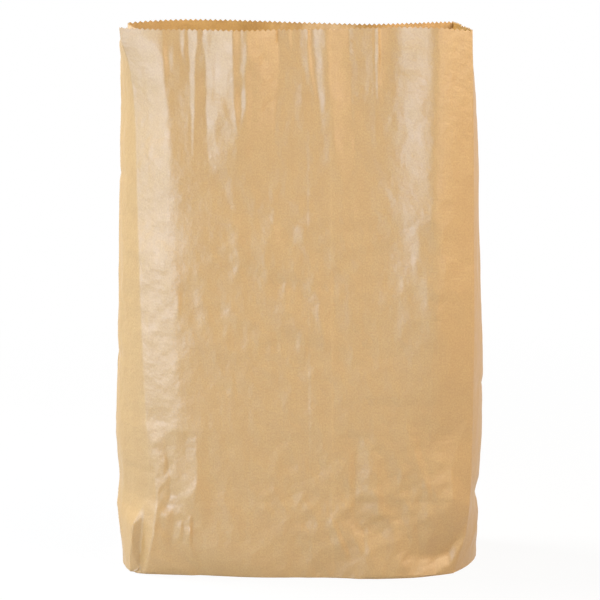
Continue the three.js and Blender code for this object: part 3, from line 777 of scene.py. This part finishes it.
def makeBag():
    u, z, below, outer, inner = bagPoints()
    columns = len(u)
    skin, wall = gridFaces(len(z), columns, 0)
    lining, inside = gridFaces(len(below), columns, z.size)
    after = np.arange(1, columns + 1) % columns
    rim = np.stack([skin[-1], skin[-1, after], lining[-1, after], lining[-1]], -1)
    # each base is a fan around its middle point
    middles = np.stack([outer[0].mean(0), inner[0].mean(0)])
    points = np.concatenate([outer.reshape(-1, 3), inner.reshape(-1, 3), middles])
    hubs = np.repeat([[z.size + below.size], [z.size + below.size + 1]], columns, 1)
    fans = [np.stack([skin[0, after], skin[0], hubs[0]], -1),
            np.stack([lining[0], lining[0, after], hubs[1]], -1)]
    faces = np.concatenate([wall, inside[:, ::-1], rim]).tolist() + np.concatenate(fans).tolist()

    # the back flap of the base is pasted on first, and the front one lies over it
    for side, low in ((1, sheet["paper"]), (-1, 0)):
        plate = flapOutline(outer[0], u, side)
        count = len(plate)
        ring = np.arange(count) + len(points)
        turn = np.roll(ring, -1)
        levels = np.repeat([low, low + sheet["paper"]], count)
        points = np.concatenate([points, np.c_[np.tile(plate, (2, 1)), levels]])
        faces += np.stack([ring, turn, turn + count, ring + count], -1).tolist()
        faces += [ring[::-1].tolist(), (ring + count).tolist()]

    mesh = bpy.data.meshes.new("paperBag")
    mesh.from_pydata((points * mm).tolist(), [], faces)
    mesh.polygons.foreach_set("use_smooth", np.ones(len(mesh.polygons), bool))
    mesh.set_sharp_from_angle(angle=math.radians(sheet["sharpAngle"]))

    # UV follows the flat sheet in metres; the inside lies above it and the base beside it
    rimUv = gridUv(u, np.vstack([z[-1], z[-1] + sheet["paper"]]))
    insideUv = gridUv(u, below)[:, ::-1] + (0, sheet["insideUv"])
    sheetUv = np.concatenate([gridUv(u, z), insideUv, rimUv]).reshape(-1, 2)
    corner = np.zeros(len(mesh.loops), int)
    mesh.loops.foreach_get("vertex_index", corner)
    baseUv = points[corner[len(sheetUv):], :2] + (halfWidth + perimeter + sheet["baseUv"], halfDepth)
    uv = mesh.uv_layers.new(name="sheet")
    uv.uv.foreach_set("vector", (np.concatenate([sheetUv, baseUv]) * mm).ravel())

    # wear of the paper, and which points lie on the glazed outer face; the other points get the inside's
    # painted shade
    for name, values in (("wear", sheetWear(u, z).ravel()), ("glazed", np.ones(z.size))):
        layer = mesh.attributes.new(name, "FLOAT", "POINT")
        layer.data.foreach_set("value", np.r_[values, np.zeros(len(points) - z.size)])
    mesh.validate()
    bag = addObject("paperBag", mesh)
    triangles = sum(len(face) - 2 for face in faces)
    print("bag made:", len(mesh.vertices), "points,", triangles, "triangles")
    return bag


# Machine-glazed kraft paper: unbleached brown pulp, pressed wet against a polished drum. One face takes a
# soft gloss from it, the fibres show as fine flecks, and the pulp lies a little cloudy.

kraft = {
    "colour": "#B79156",
    "thin": "#C5A76C",  # where the pulp lies thin
    "fleck": "#AA8149",  # bark and darker fibres
    "worn": "#DDBE8C",  # broken fibres along a crease
    "inside": "#FFEF8C",  # painted shade: filter that makes the unglazed inner face deeper and more orange, standing in for light bouncing between the bag's walls
    # patterns: mm around the sheet and up it, and fineness
    "cloud": (9, 13, 4),  # cloudy formation of the pulp
    "streak": (1.2, 45, 2),  # marks along the machine's run
    "fibre": (0.5, 3, 1),  # fibres, which are thinner in truth
    "speck": (0.9, 1.1, 2),  # fine specks between them
    "cockle": (6, 6, 2.5),  # small unevenness left by the drum
    "grain": (0.8, 1.2, 3),  # felt of the fibres
    "fibreTurns": (25, -40),  # degrees that they lie off the machine's run
    # how a pattern mixes in: where it starts, where it is full, and how much it is then
    "cloudMix": (0.2, 0.8, 0.5), "streakMix": (0.45, 0.8, 0.2), "speckMix": (0.3, 0.7, 0.7),
    "fibreMix": (0.6, 0.75, 0.4), "wornMix": (0.1, 1, 0.2),
    "cloudRough": (0.3, 0.7, 0.1), "wornRough": (0.1, 1, 0.15),
    # height of the bumps in mm, and how much of it shows
    "cockleRise": 1, "cockleShare": 0.55, "grainRise": 0.08, "grainShare": 0.6,
    "roughness": 0.43,  # of the smoothest glazed paper
    "insideRoughness": 0.6, "ior": 1.58, "specular": 1.0,
}


def kraftPaper():
    paper = bpy.data.materials.new("machineGlazedKraftPaper")
    paper.use_nodes = True
    tree = paper.node_tree
    tree.nodes.clear()
    place = addNode(tree, "ShaderNodeUVMap", uv_map="sheet").outputs[0]

    def pattern(name, turn=0):
        # noise with patches of that pattern's size
        around, up, fineness = kraft[name]
        turned = addNode(tree, "ShaderNodeVectorRotate", {"Vector": place, "Angle": math.radians(turn)},
                         rotation_type="Z_AXIS")
        scale = (1 / around / mm, 1 / up / mm, 0)
        scaled = addNode(tree, "ShaderNodeVectorMath", {0: turned.outputs[0], 1: scale}, operation="MULTIPLY")
        return addNode(tree, "ShaderNodeTexNoise",
                       {"Vector": scaled.outputs[0], "Scale": 1, "Detail": fineness}).outputs[0]

    def span(value, low, high, to):
        # value from low to high becomes 0 to the given number
        return addNode(tree, "ShaderNodeMapRange",
                       {"Value": value, "From Min": low, "From Max": high, "To Max": to}).outputs[0]

    def plus(first, second):
        return addNode(tree, "ShaderNodeMath", {0: first, 1: second}, operation="ADD").outputs[0]

    def bump(name, **under):
        inputs = {"Strength": kraft[name + "Share"], "Distance": kraft[name + "Rise"] * mm,
                  "Height": pattern(name)}
        return addNode(tree, "ShaderNodeBump", {**inputs, **under}).outputs[0]

    def tint(share, colour, other, blend="MIX"):
        return addNode(tree, "ShaderNodeMix", {0: share, 6: colour, 7: hexColour(other)}, data_type="RGBA",
                       blend_type=blend).outputs[2]

    cloud = pattern("cloud")
    wear = addNode(tree, "ShaderNodeAttribute", attribute_name="wear").outputs["Fac"]
    glazed = addNode(tree, "ShaderNodeAttribute", attribute_name="glazed").outputs["Fac"]
    colour = tint(span(cloud, *kraft["cloudMix"]), hexColour(kraft["colour"]), kraft["thin"])
    colour = tint(span(pattern("streak"), *kraft["streakMix"]), colour, kraft["thin"])
    colour = tint(span(pattern("speck"), *kraft["speckMix"]), colour, kraft["fleck"])
    for turn in kraft["fibreTurns"]:
        colour = tint(span(pattern("fibre", turn), *kraft["fibreMix"]), colour, kraft["fleck"])
    colour = tint(span(wear, *kraft["wornMix"]), colour, kraft["worn"])
    # painted shade: the inner face (glazed 0) is multiplied by the inside filter, deeper and more orange,
    # standing in for the light that passes between the bag's walls
    colour = tint(span(glazed, 1, 0, 1), colour, kraft["inside"], "MULTIPLY")

    rough = plus(span(cloud, *kraft["cloudRough"]), kraft["roughness"])
    rough = plus(span(wear, *kraft["wornRough"]), rough)
    rough = addNode(tree, "ShaderNodeMix", {0: glazed, 2: kraft["insideRoughness"], 3: rough}).outputs[0]

    shader = addNode(tree, "ShaderNodeBsdfPrincipled", {
        "Base Color": colour, "Roughness": rough, "IOR": kraft["ior"],
        "Specular IOR Level": kraft["specular"], "Normal": bump("grain", Normal=bump("cockle"))})
    addNode(tree, "ShaderNodeOutputMaterial", {"Surface": shader.outputs[0]})
    return paper


bag = makeBag()
bag.data.materials.append(kraftPaper())
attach(bag, "root")
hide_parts("paper_bag")
